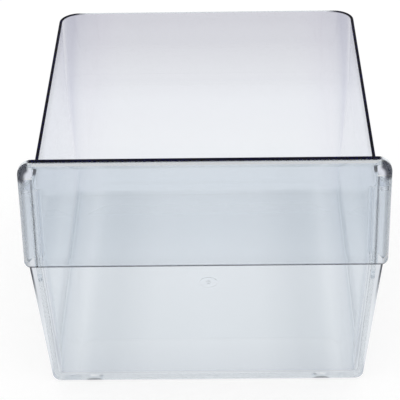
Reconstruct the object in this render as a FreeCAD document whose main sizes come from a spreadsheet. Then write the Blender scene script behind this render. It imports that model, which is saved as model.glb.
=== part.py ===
import FreeCAD, Part
import math
import os
import Sketcher

# A clear fridge crisper drawer, injection moulded as one piece.
# Millimetres. Origin at the middle of the underside, +Z up, front towards -Y.

doc = FreeCAD.newDocument("crisper_drawer")
sheet = doc.addObject("Spreadsheet::Sheet", "Sheet")

# Driving dimensions
sizes = {
    "total_height": 188.0,     # feet to the top of the apron
    "total_depth": 284.0,      # apron face to the back of the rim
    "rim_width": 235.6,        # outside, across the two side walls
    "overhang": 7.2,           # apron past each side wall
    "apron_height": 83.6,      # the panel that hangs down in front
    "rim_drop": 23.0,          # rim of the sides and back below the apron's top
    "crease_overlap": 5.6,     # crease of the walls above the apron's lower edge
    "taper_inset": 7.0,        # how far each wall comes in from crease to floor
    "wall": 2.4,
    "floor_wall": 2.4,
    "apron_gap": 2.4,          # air between the apron and the front wall
    "top_bead": 3.0,           # solid plastic above that air gap
    "apron_top_corner": 10.0,
    "apron_low_corner": 5.0,
    "apron_round": 4.0,        # rounding all round the apron's front face
    "rim_round": 0.8,          # rounding along the outside of the rim
    "ear_land": 2.0,           # straight part of the apron's end returns, behind the apron
    "ear_depth": 17.0,         # their slanting part, from there to the side walls
    "panel_low": 0.5,          # front panel past the side wall at the floor
    "panel_top": 4.5,          # front panel past the side wall at the crease
    "panel_proud": 0.4,        # front panel in front of the tub's own front
    "panel_spare": 2.0,        # floor rounding less the panel's corner radius
    "floor_round": 8.0,        # outside rounding between walls and floor
    "corner_spare": 1.0,       # upright corners rounder than the floor by this
    "foot_height": 1.0,
    "foot_radius": 4.0,        # flat underside of a foot
    "foot_flare": 2.5,         # how much wider a foot is at its top
    "foot_spread": 82.0,       # the two front feet to the drawer's middle line
    "foot_edge": 1.0,          # feet and rib to the ends of the flat underside
    "rib_width": 1.5,          # flat underside of the standing rib at the back
    "rib_flare": 14.0,         # how much further each of its sides reaches at its top
    "gate_radius": 7.0,        # round recess where the mould was filled
    "gate_forward": 7.0,       # recess to the drawer's middle, towards the front
    "gate_depth": 0.5,
    "gate_nub": 1.6,
}

# Sizes that follow from them
derived = {
    "front_face": "-total_depth / 2",
    "back_face": "total_depth / 2",
    "half_rim": "rim_width / 2",
    "half_front": "half_rim + overhang",
    "rim_height": "total_height - rim_drop",
    "apron_bottom": "total_height - apron_height",
    "crease_height": "apron_bottom + crease_overlap",
    "floor_top": "foot_height + floor_wall",
    "taper_rise": "crease_height - foot_height",
    "taper_angle": "atan(taper_inset / taper_rise) / 1 deg",
    "upper_rise": "rim_height - crease_height",
    "open_rise": "total_height - crease_height",
    "apron_back": "front_face + wall",
    "wall_front": "apron_back + apron_gap",
    "block_depth": "wall * 2 + apron_gap",
    "block_back": "front_face + block_depth",
    "floor_half": "half_rim - taper_inset",
    "floor_front": "wall_front + taper_inset",
    "floor_back": "back_face - taper_inset",
    "floor_corner": "floor_round + corner_spare",
    "rim_corner": "floor_corner + taper_inset",
    "inner_half": "half_rim - wall",
    "inner_front": "wall_front + wall",
    "inner_back": "back_face - wall",
    "inner_corner": "rim_corner - wall",
    "inner_round": "floor_round - wall",
    "front_corner": "inner_round + corner_spare",
    "inner_inset": "taper_inset * (crease_height - floor_top) / taper_rise",
    "low_half": "inner_half - inner_inset",
    "low_front": "inner_front + inner_inset",
    "low_back": "inner_back - inner_inset",
    "low_corner": "inner_corner - inner_inset",
    "panel_rise": "sqrt(taper_rise ^ 2 + taper_inset ^ 2)",
    "panel_low_half": "floor_half + panel_low",
    "panel_top_half": "half_rim + panel_top",
    "panel_corner": "floor_round - panel_spare",
    "slot_half": "half_front - apron_top_corner",
    "slot_rise": "apron_height - top_bead",
    "end_rise": "apron_height - apron_top_corner - wall",
    "ear_front": "block_back + ear_land",
    "ear_back": "ear_front + ear_depth",
    "ear_run": "wall + ear_land + ear_depth",
    "ear_rise": "rim_height - apron_bottom",
    "trim_half": "half_front + wall",
    "trim_back": "ear_back + wall",
    "ear_skin": "wall * sqrt(1 + (overhang / ear_depth) ^ 2)",
    "pocket_half": "half_front - ear_skin",
    "pocket_corner": "half_front - wall",
    "pocket_back": "ear_back - ear_skin * ear_depth / overhang",
    "pocket_rise": "ear_rise - wall",
    "foot_top": "foot_radius + foot_flare",
    "foot_angle": "atan(foot_flare / foot_height) / 1 deg",
    "foot_front": "floor_front + foot_edge + foot_top",
    "rib_angle": "atan(rib_flare / foot_height) / 1 deg",
    "rib_half": "floor_half - floor_round - foot_edge - rib_flare",
    "rib_back": "floor_back - floor_round - foot_edge - rib_flare",
    "rib_front": "rib_back - rib_width",
    "gate_place": "-gate_forward",
}


def fill_sheet():
    """Writes the driving numbers and the formulas into named cells."""
    cells = {name: str(number) for name, number in sizes.items()}
    cells.update({name: "=" + text for name, text in derived.items()})
    for row, (name, content) in enumerate(cells.items(), start=1):
        sheet.set("A%d" % row, name)
        sheet.set("B%d" % row, content)
        sheet.setAlias("B%d" % row, name)
        doc.recompute()


def size(name):
    """The number in a named cell, negative if the name has a minus before it."""
    if name.startswith("-"):
        return -size(name[1:])
    return float(sheet.get(name))


def cell(name):
    """The expression for a named cell, or for its opposite."""
    return "-Sheet." + name[1:] if name.startswith("-") else "Sheet." + name


fill_sheet()
body = doc.addObject("PartDesign::Body", "crisper_drawer")
body.Label = "crisper_drawer"
planes = {feature.Role: feature for feature in body.Origin.OriginFeatures}


def new_sketch(name, plane, base=None, tilt=None):
    """A sketch on one of the body's planes, moved and tilted about its own x by named cells."""
    sketch = body.newObject("Sketcher::SketchObject", name)
    sketch.AttachmentSupport = [(planes[plane], "")]
    sketch.MapMode = "FlatFace"
    if tilt:
        turn = FreeCAD.Rotation(FreeCAD.Vector(1, 0, 0), size(tilt))
        sketch.AttachmentOffset = FreeCAD.Placement(FreeCAD.Vector(), turn)
        sketch.setExpression("AttachmentOffset.Rotation.Angle", cell(tilt))
    for axis, text in (base or {}).items():
        sketch.setExpression("AttachmentOffset.Base." + axis, text)
    sketch.Visibility = False
    doc.recompute()
    return sketch


def level_sketch(name, height):
    """A sketch parallel to the floor at a named height."""
    return new_sketch(name, "XY_Plane", {"z": cell(height)})


def pin(sketch, geometry, point, axis, name):
    """Ties one coordinate of a point to a named cell or its opposite."""
    number = size(name)
    ends = (-1, 1, geometry, point) if number >= 0 else (geometry, point, -1, 1)
    index = sketch.addConstraint(Sketcher.Constraint("Distance" + axis, *ends, abs(number)))
    sketch.setExpression("Constraints[%d]" % index, cell(name) if number >= 0 else "-(%s)" % cell(name))


def pin_radius(sketch, geometry, name):
    """Ties a circle's or an arc's radius to a named cell."""
    index = sketch.addConstraint(Sketcher.Constraint("Radius", geometry, size(name)))
    sketch.setExpression("Constraints[%d]" % index, cell(name))


def draw_polygon(sketch, corners):
    """A closed outline of straight lines; a corner is two cell names, the second None on the x axis."""
    points = [FreeCAD.Vector(size(x), size(y) if y else 0, 0) for x, y in corners]
    count = len(points)
    for i in range(count):
        sketch.addGeometry(Part.LineSegment(points[i], points[(i + 1) % count]))
    for i, (x, y) in enumerate(corners):
        sketch.addConstraint(Sketcher.Constraint("Coincident", i, 2, (i + 1) % count, 1))
        pin(sketch, i, 1, "X", x)
        if y:
            pin(sketch, i, 1, "Y", y)
        else:
            sketch.addConstraint(Sketcher.Constraint("PointOnObject", i, 1, -1))


def draw_rectangle(sketch, half, south, north, low_radius=None, high_radius=None):
    """A rectangle across the middle line, its lower and upper corners rounded or left sharp."""
    limits = [(-size(half), size(south)), (size(half), size(south)),
              (size(half), size(north)), (-size(half), size(north))]
    corners = [FreeCAD.Vector(x, y, 0) for x, y in limits]
    names = [low_radius, low_radius, high_radius, high_radius]
    radii = [size(name) if name else 0.0 for name in names]
    sides, arcs = [], []
    for i in range(4):
        j = (i + 1) % 4
        along = (corners[j] - corners[i]).normalize()
        inward = FreeCAD.Vector(-along.y, along.x, 0)
        end = corners[j] - along * radii[j]
        sides.append(sketch.addGeometry(Part.LineSegment(corners[i] + along * radii[i], end)))
        arcs.append(None)
        if names[j]:
            circle = Part.Circle(end + inward * radii[j], FreeCAD.Vector(0, 0, 1), radii[j])
            begin = math.radians(90 * i - 90)
            arcs[i] = sketch.addGeometry(Part.ArcOfCircle(circle, begin, begin + math.pi / 2))
    for i in range(4):
        j = (i + 1) % 4
        sketch.addConstraint(Sketcher.Constraint("Vertical" if i % 2 else "Horizontal", sides[i]))
        if names[j]:
            sketch.addConstraint(Sketcher.Constraint("Tangent", sides[i], 2, arcs[i], 1))
            sketch.addConstraint(Sketcher.Constraint("Tangent", arcs[i], 2, sides[j], 1))
            pin_radius(sketch, arcs[i], names[j])
        else:
            sketch.addConstraint(Sketcher.Constraint("Coincident", sides[i], 2, sides[j], 1))
    pin(sketch, sides[0], 1, "Y", south)
    pin(sketch, sides[1], 1, "X", half)
    pin(sketch, sides[2], 1, "Y", north)
    pin(sketch, sides[3], 1, "X", "-" + half)


def draw_circle(sketch, radius, x, y):
    """A circle at two named coordinates, the first None on the middle line."""
    centre = FreeCAD.Vector(size(x) if x else 0, size(y), 0)
    index = sketch.addGeometry(Part.Circle(centre, FreeCAD.Vector(0, 0, 1), size(radius)))
    pin_radius(sketch, index, radius)
    pin(sketch, index, 3, "Y", y)
    if x:
        pin(sketch, index, 3, "X", x)
    else:
        sketch.addConstraint(Sketcher.Constraint("PointOnObject", index, 3, -2))


def finish(feature, grows):
    """Recomputes a feature and stops if it is unsound or changed the volume the wrong way."""
    before = feature.BaseFeature.Shape.Volume if feature.BaseFeature else 0.0
    doc.recompute()
    if feature.Shape.isNull() or not feature.Shape.isValid():
        raise RuntimeError("unsound shape: " + feature.Name)
    if grows is not None and (feature.Shape.Volume > before) != grows:
        raise RuntimeError("wrong way: " + feature.Name)


def pad(name, sketch, length, reverse=False, taper=None):
    """Adds plastic over a sketch for a named length, widening by a named angle if one is given."""
    feature = body.newObject("PartDesign::Pad", name)
    feature.Profile = sketch
    feature.Reversed = reverse
    feature.setExpression("Length", cell(length))
    if taper:
        feature.setExpression("TaperAngle", cell(taper))
    finish(feature, True)


def pocket_up(name, sketch, length):
    """Cuts upwards from a level sketch for a named length."""
    feature = body.newObject("PartDesign::Pocket", name)
    feature.Profile = sketch
    feature.Reversed = True
    feature.setExpression("Length", cell(length))
    finish(feature, False)


def round_edges(name, radius, wanted):
    """Rounds every edge whose box passes the test."""
    base = body.Tip
    picked = ["Edge%d" % (i + 1) for i, edge in enumerate(base.Shape.Edges) if wanted(edge.BoundBox)]
    feature = body.newObject("PartDesign::Fillet", name)
    feature.Base = (base, picked)
    feature.setExpression("Radius", cell(radius))
    finish(feature, None)


def at_height(box, height):
    """Whether an edge lies level at a height."""
    return abs(box.ZMin - height) < 0.01 and abs(box.ZMax - height) < 0.01


def at_depth(box, depth):
    """Whether an edge lies in an upright plane across the drawer."""
    return abs(box.YMin - depth) < 0.01 and abs(box.YMax - depth) < 0.01


def make_tub():
    """The tub, still solid: a tapered lower part under a straight upper part."""
    sketch = level_sketch("floor_outline", "foot_height")
    draw_rectangle(sketch, "floor_half", "floor_front", "floor_back", None, "floor_corner")
    pad("lower_tub", sketch, "taper_rise", taper="taper_angle")
    low, front = size("foot_height"), size("floor_front")
    round_edges("floor_rounding", "floor_round", lambda b: at_height(b, low) and not at_depth(b, front))
    sketch = level_sketch("rim_outline", "crease_height")
    draw_rectangle(sketch, "half_rim", "wall_front", "back_face", None, "rim_corner")
    pad("upper_tub", sketch, "upper_rise")
    rim, front = size("rim_height"), size("wall_front")
    round_edges("rim_rounding", "rim_round", lambda b: at_height(b, rim) and not at_depth(b, front))


def make_panel():
    """The flat front panel below the apron, a little wider than the tub behind it."""
    base = {"y": "Sheet.foot_height", "z": "Sheet.panel_proud - Sheet.floor_front"}
    sketch = new_sketch("panel_outline", "XZ_Plane", base, tilt="taper_angle")
    draw_polygon(sketch, [("-panel_low_half", None), ("panel_low_half", None),
                          ("panel_top_half", "panel_rise"), ("-panel_top_half", "panel_rise")])
    pad("front_panel", sketch, "wall", reverse=True)
    half, above = size("panel_low_half"), size("floor_top")
    round_edges("panel_corners", "panel_corner",
                lambda b: b.XLength < 0.01 and abs(abs(b.XMin) - half) < 0.01 and b.ZMax < above)


def make_apron():
    """A block across the front, with returns at its ends that run slanting back to the side walls."""
    sketch = new_sketch("apron_outline", "XZ_Plane", {"z": cell("-front_face")})
    draw_rectangle(sketch, "half_front", "apron_bottom", "total_height",
                   "apron_low_corner", "apron_top_corner")
    pad("apron_block", sketch, "block_depth", reverse=True)
    face = size("front_face")
    round_edges("apron_rounding", "apron_round", lambda b: at_depth(b, face))
    sketch = new_sketch("ear_outline", "XZ_Plane", {"z": cell("-wall_front")})
    draw_rectangle(sketch, "half_front", "apron_bottom", "rim_height", "apron_low_corner")
    pad("ears", sketch, "ear_run", reverse=True)
    for name, side in (("right", ""), ("left", "-")):
        sketch = level_sketch("trim_outline_" + name, "apron_bottom")
        draw_polygon(sketch, [(side + "half_front", "ear_front"), (side + "trim_half", "ear_front"),
                              (side + "trim_half", "trim_back"), (side + "half_rim", "trim_back"),
                              (side + "half_rim", "ear_back")])
        pocket_up("ear_trim_" + name, sketch, "ear_rise")


def hollow_apron():
    """Opens the apron from below: the slot behind it, wider below its top corners, and the pocket inside
    each return."""
    for name, half, rise in (("slot", "slot_half", "slot_rise"), ("wide_slot", "pocket_corner", "end_rise")):
        sketch = level_sketch(name + "_outline", "apron_bottom")
        draw_rectangle(sketch, half, "apron_back", "wall_front")
        pocket_up(name, sketch, rise)
    for name, side in (("right", ""), ("left", "-")):
        sketch = level_sketch("pocket_outline_" + name, "apron_bottom")
        draw_polygon(sketch, [(side + "half_rim", "apron_back"), (side + "pocket_corner", "apron_back"),
                              (side + "pocket_half", "ear_front"), (side + "half_rim", "pocket_back")])
        pocket_up("ear_pocket_" + name, sketch, "pocket_rise")


def hollow_tub():
    """The inside: straight above the crease, tapered below it, rounded where it meets the floor."""
    outline = ("inner_half", "inner_front", "inner_back", "front_corner", "inner_corner")
    sketch = level_sketch("inside_outline", "crease_height")
    draw_rectangle(sketch, *outline)
    pocket_up("inside_upper", sketch, "open_rise")
    upper = level_sketch("inside_crease", "crease_height")
    draw_rectangle(upper, *outline)
    lower = level_sketch("inside_floor", "floor_top")
    draw_rectangle(lower, "low_half", "low_front", "low_back", "front_corner", "low_corner")
    loft = body.newObject("PartDesign::SubtractiveLoft", "inside_lower")
    loft.Profile = upper
    loft.Sections = [lower]
    loft.Ruled = True
    finish(loft, False)
    floor = size("floor_top")
    round_edges("inside_rounding", "inner_round", lambda b: at_height(b, floor))


def round_apron_back():
    """Softens the back edge of the apron's top."""
    behind, rim = size("block_back"), size("rim_height")
    round_edges("apron_back_rounding", "rim_round", lambda b: at_depth(b, behind) and b.ZMin > rim)


def make_feet():
    """Two low round feet under the front corners, wider at the top, and a low broad rib under the back."""
    sketch = new_sketch("foot_outline", "XY_Plane")
    for x in ("foot_spread", "-foot_spread"):
        draw_circle(sketch, "foot_radius", x, "foot_front")
    pad("feet", sketch, "foot_height", taper="foot_angle")
    sketch = new_sketch("rib_outline", "XY_Plane")
    draw_rectangle(sketch, "rib_half", "rib_front", "rib_back")
    pad("back_rib", sketch, "foot_height", taper="rib_angle")


def make_gate_mark():
    """The round recess under the middle of the floor, with the nub left where the mould was filled."""
    sketch = level_sketch("gate_outline", "foot_height")
    draw_circle(sketch, "gate_radius", None, "gate_place")
    draw_circle(sketch, "gate_nub", None, "gate_place")
    pocket_up("gate_recess", sketch, "gate_depth")


make_tub()
make_panel()
make_apron()
hollow_apron()
hollow_tub()
round_apron_back()
make_feet()
make_gate_mark()

doc.recompute()
for item in doc.Objects:
    if "Invalid" in item.State or "Error" in item.State:
        raise RuntimeError("not built: " + item.Name)
if body.Shape.isNull() or not body.Shape.isValid() or len(body.Shape.Solids) != 1:
    raise RuntimeError("the drawer is not one sound solid")

os.makedirs("parts", exist_ok=True)
body.Shape.exportStep("parts/crisper_drawer.step")
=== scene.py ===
import math

import bpy
from mathutils import Matrix, Vector


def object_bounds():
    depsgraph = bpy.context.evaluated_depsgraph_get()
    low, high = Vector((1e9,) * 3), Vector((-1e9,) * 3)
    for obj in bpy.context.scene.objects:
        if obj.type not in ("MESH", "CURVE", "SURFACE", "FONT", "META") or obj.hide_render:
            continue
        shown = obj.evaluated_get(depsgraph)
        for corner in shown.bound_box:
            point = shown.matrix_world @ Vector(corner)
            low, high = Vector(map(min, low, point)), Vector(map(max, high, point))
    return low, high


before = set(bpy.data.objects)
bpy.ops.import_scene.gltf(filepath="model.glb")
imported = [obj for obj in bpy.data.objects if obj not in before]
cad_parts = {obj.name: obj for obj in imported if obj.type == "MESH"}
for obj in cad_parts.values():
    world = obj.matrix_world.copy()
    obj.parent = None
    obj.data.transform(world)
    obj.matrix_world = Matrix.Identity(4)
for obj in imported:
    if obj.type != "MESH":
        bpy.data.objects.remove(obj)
cad_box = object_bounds()

# A clear fridge crisper drawer, moulded in one piece, on a plain white floor.
# Metres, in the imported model's frame: origin at the middle of the underside, front towards -Y, +Z up.
# Places on the drawer and the paper are named in millimetres, and MM turns them to metres.

MM = 0.001
FRONT = round(cad_box[0][1] / MM, 1)     # face of the apron
HALF = round(cad_box[1][0] / MM, 1)      # half the apron's width
BACK = round(cad_box[1][1] / MM, 1)      # outside of the back wall
TOP = round(cad_box[1][2] / MM, 1)       # top of the apron
RIM = TOP - 23                           # rim of the side walls and the back wall
LIP = TOP - 83.6                         # lower edge of the apron
WALL = HALF - 7.2                        # outside of the side walls


def linear(code):
    """An sRGB hex colour as linear RGBA."""
    parts = [int(code[i:i + 2], 16) / 255 for i in (1, 3, 5)]
    return [p / 12.92 if p <= 0.04045 else ((p + 0.055) / 1.055) ** 2.4 for p in parts] + [1.0]


def add_node(tree, kind, settings=(), inputs=(), links=()):
    """Adds a node, sets its properties and input values, and links other nodes' outputs to its inputs."""
    node = tree.nodes.new(kind)
    for name, value in dict(settings).items():
        setattr(node, name, value)
    for name, value in dict(inputs).items():
        node.inputs[name].default_value = value
    for name, output in dict(links).items():
        tree.links.new(output, node.inputs[name])
    return node


def painted_edge_shades():
    """Painted shade where the plastic looks dark, because light caught in a wall does not come back out of
    its edges, with painted shade over the front feet and the plastic's own faint mark over its fill point.
    Each place has its strength, and the ramps in millimetres that meet there: a measure, where the shade
    begins and where it is full."""
    face = (("y", FRONT + 3.8, FRONT + 2.8),)
    wall_face = (("y", FRONT + 3.4, FRONT + 3.8), ("y", FRONT + 5.4, FRONT + 5))
    below_rim_top = ("z", RIM + 0.3, RIM + 0.2)
    behind_returns = ("y", FRONT + 25, FRONT + 29)
    before_corners = ("y", BACK - 16, BACK - 24)
    rim = (("z", RIM - 1.1, RIM - 0.4), below_rim_top, behind_returns)
    return {
        # Painted shade on the apron, the front wall, the panel and the rims
        "apron top": (1.0, (("z", TOP - 0.7, TOP - 0.05),)),
        "apron bead": (0.18, (("z", TOP - 4.5, TOP - 0.4),) + face),
        "apron corners": (0.86, (("reach", 3.5, 6.5), ("x", WALL - 1.8, WALL + 0.7),
                                 ("z", TOP - 18, TOP - 12)) + face),
        "apron ends": (0.32, (("x", HALF - 5.4, HALF - 3), ("x", HALF + 4, HALF - 2)) + face),
        "apron lip": (0.85, (("z", LIP + 3.6, LIP + 1.6),) + face),
        "front wall ends": (0.5, (("x", WALL - 2.6, WALL - 1.9), ("x", WALL - 0.6, WALL - 1.3),
                                  ("z", LIP - 0.2, LIP + 0.6), ("z", TOP - 5, TOP - 7)) + wall_face),
        "panel edges": (0.85, (("slant", 109.4, 110.4), ("z", 66, 100), ("z", LIP + 0.2, LIP - 0.6),
                               ("y", FRONT + 18, FRONT + 16))),
        # Painted shadow of the front feet, seen through the panel
        "over the front feet": (0.5, (("foot", 6.2, 4.6), ("y", FRONT + 17, FRONT + 15))),
        # The plastic's own faint mark over its fill point
        "over the fill point": (0.13, (("gate", 2.4, 1.2), ("z", 5, 4.5))),
        "side wall feet": (0.13, (("z", 38, 13), ("z", 10.4, 11.4), ("x", 104, 106),
                                  ("y", FRONT + 20, FRONT + 24), ("y", BACK - 20, BACK - 42))),
        "side rims": (1.0, rim + (before_corners,)),
        "rim corners": (1.0, rim + (("x", 96, 107),)),
        "below side rims": (0.24, (("z", RIM - 21, RIM - 1), below_rim_top, ("x", WALL - 3.8, WALL - 2.8),
                                   behind_returns, before_corners)),
    }


def clear_polystyrene():
    """Clear polystyrene, moulded against a polished tool: glassy, with a faint blue-grey cast that deepens
    with every wall the eye looks through, nearly black edges painted in as shade, and a light haze of
    handling marks."""
    corner_radius = 10        # the apron's top corners
    panel_slope = 0.1009      # how much wider the front panel is on each side for its height
    foot_spread = 82          # front feet to the middle line
    foot_stretch = 2.75       # heights over the feet, stretched so that the mark is a low half moon
    foot_height = 1
    gate_place = -7           # fill point, in front of the drawer's middle

    material = bpy.data.materials.new("clear_polystyrene_moulded")
    material.use_nodes = True
    tree = material.node_tree
    tree.nodes.clear()
    place = add_node(tree, "ShaderNodeTexCoord").outputs["Object"]
    axes = add_node(tree, "ShaderNodeSeparateXYZ", links={0: place}).outputs
    across = add_node(tree, "ShaderNodeMath", {"operation": "ABSOLUTE"}, links={0: axes["X"]}).outputs[0]

    # How far a point lies out from the centres of the apron's rounded top corners
    out = add_node(tree, "ShaderNodeMath", {"operation": "SUBTRACT"}, {1: (HALF - corner_radius) * MM},
                   {0: across})
    up = add_node(tree, "ShaderNodeMath", {"operation": "SUBTRACT"}, {1: (TOP - corner_radius) * MM},
                  {0: axes["Z"]})
    offset = add_node(tree, "ShaderNodeCombineXYZ", links={0: out.outputs[0], 1: up.outputs[0]})
    past = add_node(tree, "ShaderNodeVectorMath", {"operation": "MAXIMUM"}, links={0: offset.outputs[0]})
    reach = add_node(tree, "ShaderNodeVectorMath", {"operation": "LENGTH"}, links={0: past.outputs[0]})

    # How far out it lies on the front panel, whose sides lean out as they rise, brought down to the floor
    slant = add_node(tree, "ShaderNodeMath", {"operation": "MULTIPLY_ADD"}, {1: -panel_slope},
                     {0: axes["Z"], 2: across})

    # How far it lies from a front foot, seen from the front, for the painted shadow over the feet
    stretched = add_node(tree, "ShaderNodeMath", {"operation": "MULTIPLY"}, {1: foot_stretch}, {0: axes["Z"]})
    upright = add_node(tree, "ShaderNodeCombineXYZ", links={0: across, 1: stretched.outputs[0]})
    foot = add_node(tree, "ShaderNodeVectorMath", {"operation": "DISTANCE"},
                    {1: (foot_spread * MM, foot_height * foot_stretch * MM, 0)}, {0: upright.outputs[0]})

    # How far it lies from the fill point, seen from above
    level = add_node(tree, "ShaderNodeCombineXYZ", links={0: axes["X"], 1: axes["Y"]})
    gate = add_node(tree, "ShaderNodeVectorMath", {"operation": "DISTANCE"}, {1: (0, gate_place * MM, 0)},
                    {0: level.outputs[0]})

    # Each painted shade is the product of its ramps, and the darkest one counts
    measures = {"x": across, "y": axes["Y"], "z": axes["Z"], "slant": slant.outputs[0],
                "reach": reach.outputs["Value"], "foot": foot.outputs["Value"], "gate": gate.outputs["Value"]}
    edge = None
    for strength, ramps in painted_edge_shades().values():
        shade = None
        for measure, start, end in ramps:
            ramp = add_node(tree, "ShaderNodeMapRange", {"interpolation_type": "SMOOTHSTEP"}, {
                "From Min": start * MM, "From Max": end * MM, "To Max": strength if shade is None else 1.0},
                {"Value": measures[measure]}).outputs[0]
            shade = ramp if shade is None else add_node(
                tree, "ShaderNodeMath", {"operation": "MULTIPLY"}, links={0: shade, 1: ramp}).outputs[0]
        edge = shade if edge is None else add_node(
            tree, "ShaderNodeMath", {"operation": "MAXIMUM"}, links={0: edge, 1: shade}).outputs[0]

    # The shade is painted only where a ray meets the plastic from outside: light on its way inside a wall
    # goes on
    inside = add_node(tree, "ShaderNodeNewGeometry").outputs["Backfacing"]
    outside = add_node(tree, "ShaderNodeMath", {"operation": "SUBTRACT"}, {0: 1.0}, {1: inside})
    edge = add_node(tree, "ShaderNodeMath", {"operation": "MULTIPLY"}, links={0: edge, 1: outside.outputs[0]})

    # Slow waves left by the mould, about 25 mm apart
    wave = add_node(tree, "ShaderNodeTexNoise", {}, {"Scale": 1 / (25 * MM), "Detail": 1.0},
                    {"Vector": place})
    bump = add_node(tree, "ShaderNodeBump", {}, {"Strength": 0.15, "Distance": 0.05 * MM},
                    {"Height": wave.outputs[0]})
    # Handling marks: patches about 6 mm across where the polish is a little dulled
    marks = add_node(tree, "ShaderNodeTexNoise", {}, {"Scale": 1 / (6 * MM), "Detail": 3.0},
                     {"Vector": place})
    dull = add_node(tree, "ShaderNodeMapRange", {"interpolation_type": "SMOOTHSTEP"}, {
        "From Min": 0.5, "From Max": 0.75, "To Min": 0.0, "To Max": 0.03}, {"Value": marks.outputs[0]})
    surface = {"Roughness": dull.outputs[0], "Normal": bump.outputs[0]}
    gloss = add_node(tree, "ShaderNodeBsdfPrincipled", inputs={
        "Base Color": linear("#eff2f5"), "IOR": 1.57, "Transmission Weight": 1.0}, links=surface)
    # A near-black clear sheet mixed in where the shade is painted; its low IOR keeps these painted dark edges
    # from mirroring the white room
    dark = add_node(tree, "ShaderNodeBsdfPrincipled", inputs={
        "Base Color": linear("#000001"), "IOR": 1.1, "Transmission Weight": 1.0}, links=surface)
    # The painted shade mask mixes the clear plastic with the near-black sheet
    mixed = add_node(tree, "ShaderNodeMixShader", links={
        0: edge.outputs[0], 1: gloss.outputs["BSDF"], 2: dark.outputs["BSDF"]})
    # A faint tint through the plastic, which tones the walls that are seen edge on
    depth = add_node(tree, "ShaderNodeVolumeAbsorption", inputs={"Color": linear("#dfe6ec"), "Density": 1.0})
    add_node(tree, "ShaderNodeOutputMaterial", links={
        "Surface": mixed.outputs[0], "Volume": depth.outputs[0]})
    return material


def white_paper():
    """Matt white paper: white to the camera, with part of its light real so that the drawer's shadow stays
    on it. Through the plastic it shows painted shade: a soft painted shadow along the drawer's foot, paler
    painted streaks of light inside it, and a painted falloff to a lilac grey well behind."""
    # Painted shades by place: across the paper under the drawer, across it behind the drawer, and from front
    # to back
    under_drawer = (
        (0, "#ffffff"), (40, "#fdfdfd"), (70, "#f1f2f3"), (84, "#f3f4f5"), (94, "#fefefe"),
        (106.5, "#f1f2f4"), (111, "#e4e7ea"), (112.8, "#ccd0d6"), (114, "#fafbfc"), (122, "#f8f9fa"),
        (131, "#e9ebee"), (200, "#eceef1"))
    behind_drawer = (
        (0, "#ffffff"), (80, "#ffffff"), (112, "#fbfafc"), (128, "#f4f4f7"), (145, "#e7e7ee"),
        (170, "#e9e9ef"), (230, "#ffffff"))
    front_to_back = (
        (-170, "#ffffff"), (-140, "#d8dade"), (-128, "#e2e4e7"), (-117, "#f4f5f6"), (-60, "#fafbfb"),
        (10, "#ffffff"), (40, "#ffffff"), (80, "#f8f9fa"), (116, "#f7f8f9"), (128, "#f2f3f4"),
        (140, "#fcfdfe"), (224, "#fffeff"), (300, "#fcfbfd"), (384, "#eeecef"), (475, "#dfdce1"))

    material = bpy.data.materials.new("matt_white_paper")
    material.use_nodes = True
    tree = material.node_tree
    tree.nodes.clear()
    ray = add_node(tree, "ShaderNodeLightPath")
    place = add_node(tree, "ShaderNodeTexCoord").outputs["Object"]
    axes = add_node(tree, "ShaderNodeSeparateXYZ", links={0: place}).outputs
    across = add_node(tree, "ShaderNodeMath", {"operation": "ABSOLUTE"}, links={0: axes["X"]}).outputs[0]
    shades = []
    for value, start, end, stops in ((across, 0, 250, under_drawer), (across, 0, 250, behind_drawer),
                                     (axes["Y"], -250, 500, front_to_back)):
        along = add_node(tree, "ShaderNodeMapRange", {}, {"From Min": start * MM, "From Max": end * MM},
                         {"Value": value})
        grade = add_node(tree, "ShaderNodeValToRGB", links={0: along.outputs[0]})
        points = grade.color_ramp.elements
        points.remove(points[0])
        points[0].position = 1.0
        points[0].color = linear(stops[-1][1])
        for at, code in stops:
            points.new((at - start) / (end - start)).color = linear(code)
        shades.append(grade.outputs[0])
    # The painted shade beside the drawer, under it or behind it, times the painted shade from front to back
    under = add_node(tree, "ShaderNodeMapRange", {}, {
        "From Min": (BACK - 3) * MM, "From Max": (BACK - 7) * MM}, {"Value": axes["Y"]})
    beside = add_node(tree, "ShaderNodeMix", {"data_type": "RGBA"}, {},
                      {0: under.outputs[0], 6: shades[1], 7: shades[0]})
    painted_paper_shade = add_node(tree, "ShaderNodeMix", {"data_type": "RGBA", "blend_type": "MULTIPLY"}, {0: 1.0},
                     {6: shades[2], 7: beside.outputs[2]})

    # The camera sees white with a real shadow, the plastic shows the painted shade, and other light plain
    # paper
    seen = add_node(tree, "ShaderNodeMath", {"operation": "MAXIMUM"}, links={
        0: ray.outputs["Is Glossy Ray"], 1: ray.outputs["Is Transmission Ray"]})
    plain = add_node(tree, "ShaderNodeBsdfDiffuse", inputs={"Color": linear("#f4f4f4")})
    shadowed = add_node(tree, "ShaderNodeBsdfDiffuse", inputs={"Color": linear("#9c9c9c")})
    glow = add_node(tree, "ShaderNodeEmission", inputs={"Strength": 0.76})
    shaded = add_node(tree, "ShaderNodeEmission", inputs={"Strength": 1.0}, links={"Color": painted_paper_shade.outputs[2]})
    lit = add_node(tree, "ShaderNodeAddShader", links={0: shadowed.outputs[0], 1: glow.outputs[0]})
    direct = add_node(tree, "ShaderNodeMixShader", links={
        0: ray.outputs["Is Camera Ray"], 1: plain.outputs[0], 2: lit.outputs[0]})
    mixed = add_node(tree, "ShaderNodeMixShader", links={
        0: seen.outputs[0], 1: direct.outputs[0], 2: shaded.outputs[0]})
    add_node(tree, "ShaderNodeOutputMaterial", links={"Surface": mixed.outputs[0]})
    return material


def lay_floor():
    """A wide level sheet just under the feet."""
    half = 3.0
    drop = 0.3 * MM
    mesh = bpy.data.meshes.new("floor")
    mesh.from_pydata([(-half, -half, -drop), (half, -half, -drop), (half, half, -drop), (-half, half, -drop)],
                     [], [(0, 1, 2, 3)])
    floor = bpy.data.objects.new("floor", mesh)
    bpy.context.scene.collection.objects.link(floor)
    mesh.materials.append(white_paper())


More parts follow.
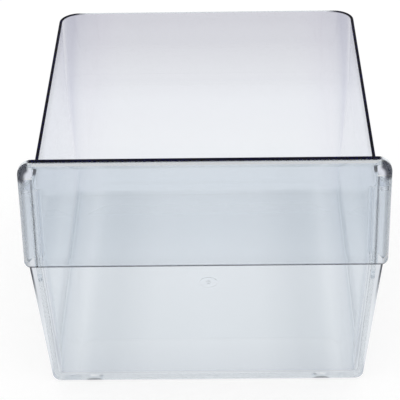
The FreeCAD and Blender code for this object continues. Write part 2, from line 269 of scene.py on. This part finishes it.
def light_room():
    """A plain white room with soft even light. In the gloss and through the plastic its walls are white, and
    its ceiling is a little greyer."""
    world = bpy.data.worlds.new("white_room")
    bpy.context.scene.world = world
    world.use_nodes = True
    tree = world.node_tree
    tree.nodes.clear()
    ray = add_node(tree, "ShaderNodeLightPath")
    toward = add_node(tree, "ShaderNodeTexCoord").outputs["Generated"]
    axes = add_node(tree, "ShaderNodeSeparateXYZ", links={0: toward}).outputs
    above = add_node(tree, "ShaderNodeMapRange", {}, {
        "From Min": 0.15, "From Max": 0.5, "To Min": 1.0, "To Max": 0.85}, {"Value": axes["Z"]})
    seen = add_node(tree, "ShaderNodeMath", {"operation": "MAXIMUM"}, links={
        0: ray.outputs["Is Glossy Ray"], 1: ray.outputs["Is Transmission Ray"]})
    plain = add_node(tree, "ShaderNodeBackground", inputs={"Color": linear("#ffffff"), "Strength": 0.8})
    graded = add_node(tree, "ShaderNodeBackground", inputs={"Color": linear("#ffffff")},
                      links={"Strength": above.outputs[0]})
    clean = add_node(tree, "ShaderNodeBackground", inputs={"Color": linear("#ffffff"), "Strength": 1.0})
    shown = add_node(tree, "ShaderNodeMixShader", links={
        0: seen.outputs[0], 1: plain.outputs[0], 2: graded.outputs[0]})
    mixed = add_node(tree, "ShaderNodeMixShader", links={
        0: ray.outputs["Is Camera Ray"], 1: shown.outputs[0], 2: clean.outputs[0]})
    add_node(tree, "ShaderNodeOutputWorld", links={"Surface": mixed.outputs[0]})


def place_camera():
    """A long lens in front of the drawer and above it, level to about a degree."""
    focal_pixels = 1713.994
    image_pixels = 400
    sensor = 36.0
    pitch = math.radians(31.322)
    yaw = math.radians(-0.94)
    roll = math.radians(1.049)
    place = Vector((12.863, -1121.851, 755.697)) * MM
    forward = Vector((math.sin(yaw) * math.cos(pitch), math.cos(yaw) * math.cos(pitch), -math.sin(pitch)))
    level = Vector((math.cos(yaw), -math.sin(yaw), 0))
    upright = level.cross(forward)
    right = level * math.cos(roll) - upright * math.sin(roll)
    up = upright * math.cos(roll) + level * math.sin(roll)
    data = bpy.data.cameras.new("camera")
    data.sensor_width = sensor
    data.lens = sensor * focal_pixels / image_pixels
    camera = bpy.data.objects.new("camera", data)
    bpy.context.scene.collection.objects.link(camera)
    camera.matrix_world = Matrix.Translation(place) @ Matrix((right, up, -forward)).transposed().to_4x4()
    bpy.context.scene.camera = camera


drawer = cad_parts["crisper_drawer"]
drawer.data.materials.clear()
drawer.data.materials.append(clear_polystyrene())
lay_floor()
light_room()
place_camera()
bpy.context.scene.view_settings.view_transform = "Standard"

# Light bounces many times inside clear walls, so its paths may be long
for limit in ("max_bounces", "transmission_bounces", "glossy_bounces"):
    setattr(bpy.context.scene.cycles, limit, 256)
